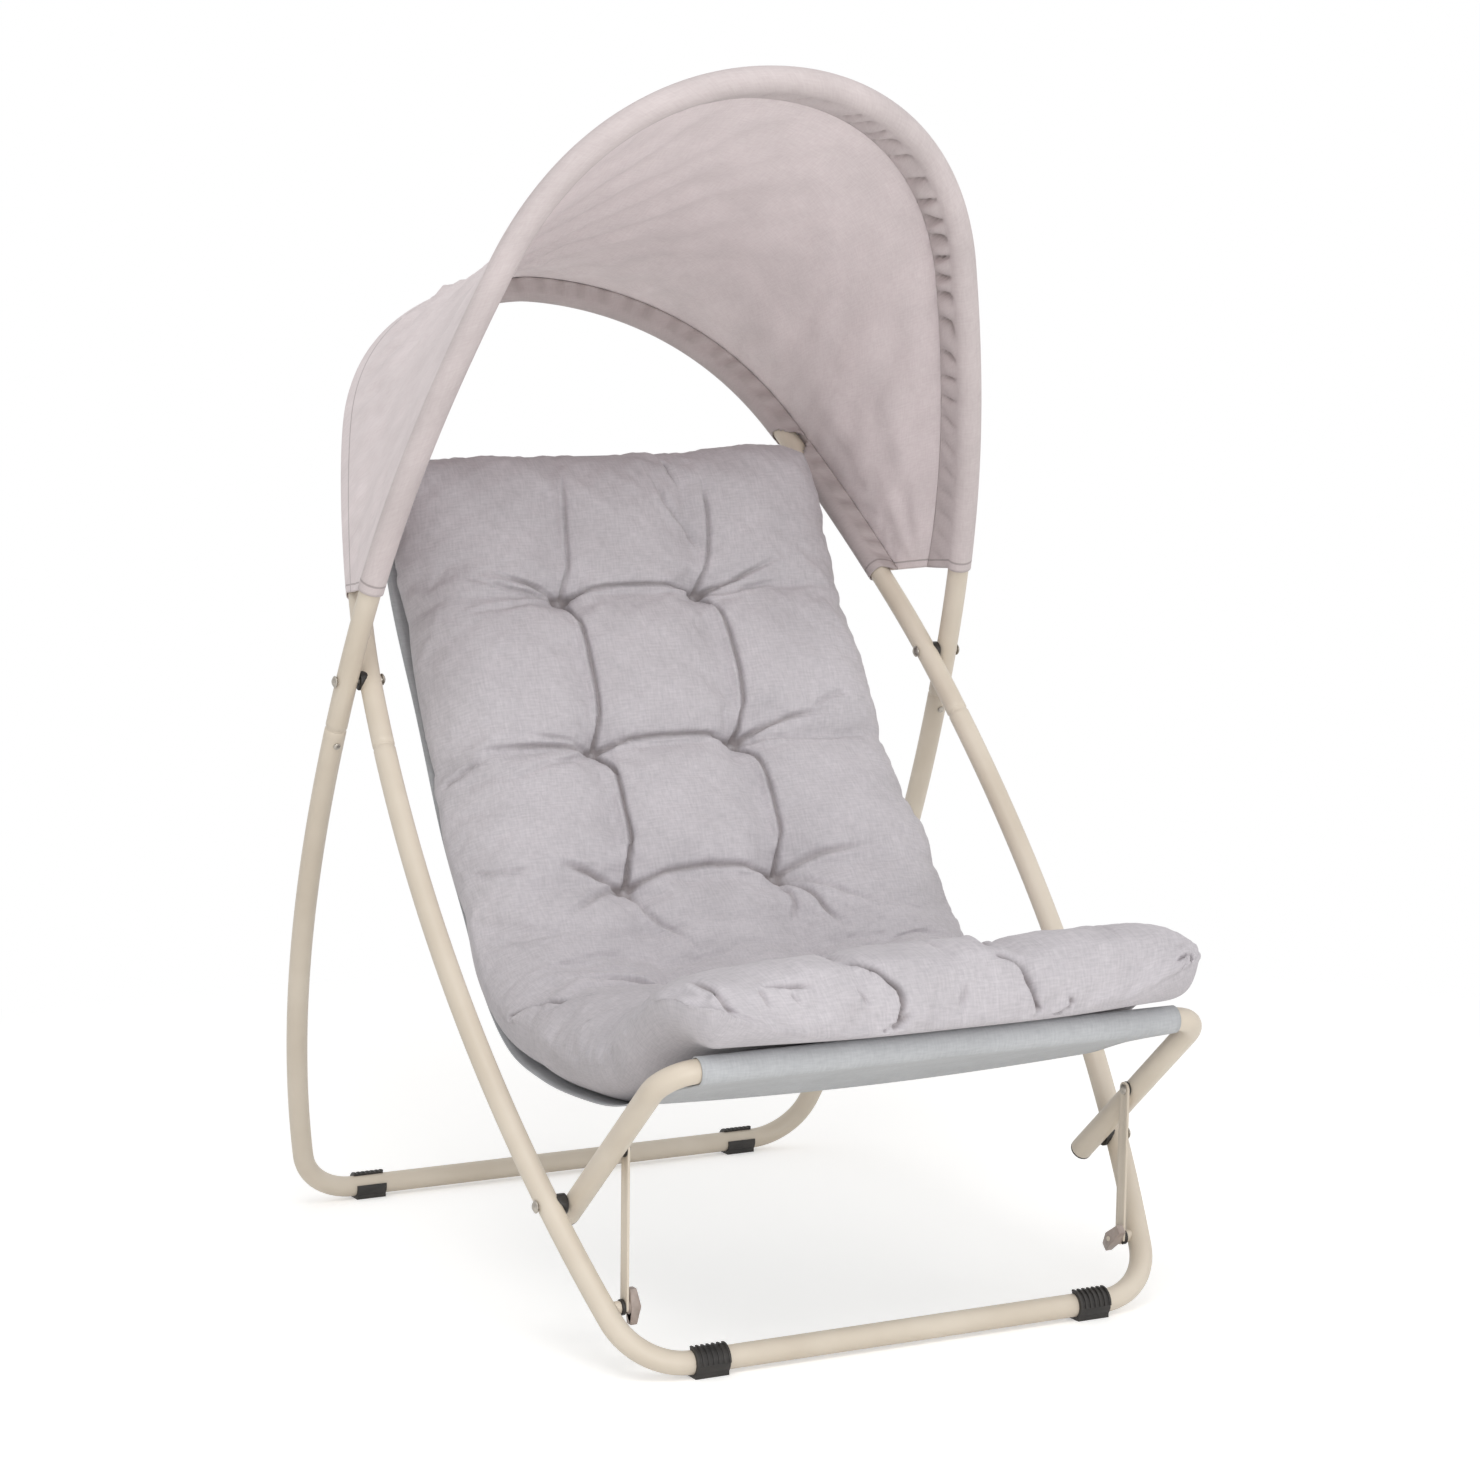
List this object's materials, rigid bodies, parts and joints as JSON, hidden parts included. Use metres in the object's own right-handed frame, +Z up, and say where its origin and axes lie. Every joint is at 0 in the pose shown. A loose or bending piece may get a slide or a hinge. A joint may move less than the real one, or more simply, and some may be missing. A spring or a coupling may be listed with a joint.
{
  "type": "sun lounger with canopy",
  "caption": "Folding sun lounger with crossing hooped tube frames, a strutted seat frame, a hung sling, a tufted cushion and a sheet canopy stretched over the hoops.",
  "frame": {"origin": "middle of the lounger's outline, on the ground", "axes": "+X across, to the right as seen from the front; +Y from the front to the back; +Z up"},
  "size_m": [0.8176, 1.109, 1.34],
  "materials": {
    "coated_tube": "satin beige powder coat",
    "black_plastic": "moulded, matte",
    "zinc_steel": "zinc plated",
    "knob_plastic": "moulded, satin",
    "sling_fabric": "woven, grey",
    "cushion_fabric": "woven, mottled warm grey",
    "canopy_fabric": "woven, sand"
  },
  "bodies": {
    "front_frame": {"front_leg_frame": "coated_tube", "rear_hoop": "coated_tube", "front_joint_screw_left": "zinc_steel", "front_joint_screw_right": "zinc_steel", "backrest_crossbar": "coated_tube", "front_foot_left": "black_plastic", "front_foot_right": "black_plastic", "pivot_spacer_left": "black_plastic", "pivot_spacer_right": "black_plastic", "pivot_rivet_left": "zinc_steel", "pivot_rivet_right": "zinc_steel", "seat_pivot_spacer_left": "black_plastic", "seat_pivot_spacer_right": "black_plastic", "seat_pivot_bolt_left": "zinc_steel", "seat_pivot_bolt_right": "zinc_steel", "strut_stud_left": "coated_tube", "strut_stud_right": "coated_tube", "lower_strut_washer_left": "black_plastic", "lower_strut_washer_right": "black_plastic", "sling": "sling_fabric", "cushion": "cushion_fabric", "canopy": "canopy_fabric"},
    "rear_frame": {"rear_leg_frame": "coated_tube", "front_hoop": "coated_tube", "rear_joint_screw_left": "zinc_steel", "rear_joint_screw_right": "zinc_steel", "rear_foot_left": "black_plastic", "rear_foot_right": "black_plastic"},
    "seat_frame": {"seat_frame": "coated_tube", "arm_plug_left": "black_plastic", "arm_plug_right": "black_plastic", "upper_strut_washer_left": "black_plastic", "upper_strut_washer_right": "black_plastic", "strut_rivet_left": "zinc_steel", "strut_rivet_right": "zinc_steel"},
    "strut_left": {"support_strut_left": "coated_tube"},
    "strut_right": {"support_strut_right": "coated_tube"},
    "knob_left": {"wing_knob_left": "knob_plastic"},
    "knob_right": {"wing_knob_right": "knob_plastic"}
  },
  "joints": [
    {"name": "frame_fold", "type": "hinge", "parent": "front_frame", "child": "rear_frame", "pos_m": [0, 0.14562, 0.674], "axis": [-1, 0, 0], "range_deg": [0, 63], "deforming": ["canopy"]},
    {"name": "seat_fold", "type": "hinge", "parent": "front_frame", "child": "seat_frame", "pos_m": [0, -0.305, 0.16256], "axis": [-1, 0, 0], "range_deg": [0, 90], "deforming": ["sling", "cushion"]},
    {"name": "strut_fold_left", "type": "hinge", "parent": "seat_frame", "child": "strut_left", "pos_m": [-0.29965, -0.39695, 0.23491], "axis": [-1, 0, 0], "range_deg": [-90, 0]},
    {"name": "strut_fold_right", "type": "hinge", "parent": "seat_frame", "child": "strut_right", "pos_m": [0.29965, -0.39695, 0.23491], "axis": [-1, 0, 0], "range_deg": [-90, 0]},
    {"name": "knob_turn_left", "type": "hinge", "parent": "front_frame", "child": "knob_left", "pos_m": [-0.2906, -0.38744, 0.069], "axis": [1, 0, 0], "continuous": true},
    {"name": "knob_turn_right", "type": "hinge", "parent": "front_frame", "child": "knob_right", "pos_m": [0.2906, -0.38744, 0.069], "axis": [1, 0, 0], "continuous": true}
  ],
  "couplings": [
    {"joint": "strut_fold_left", "follows": "seat_fold", "ratio": -1},
    {"joint": "strut_fold_right", "follows": "seat_fold", "ratio": -1}
  ]
}
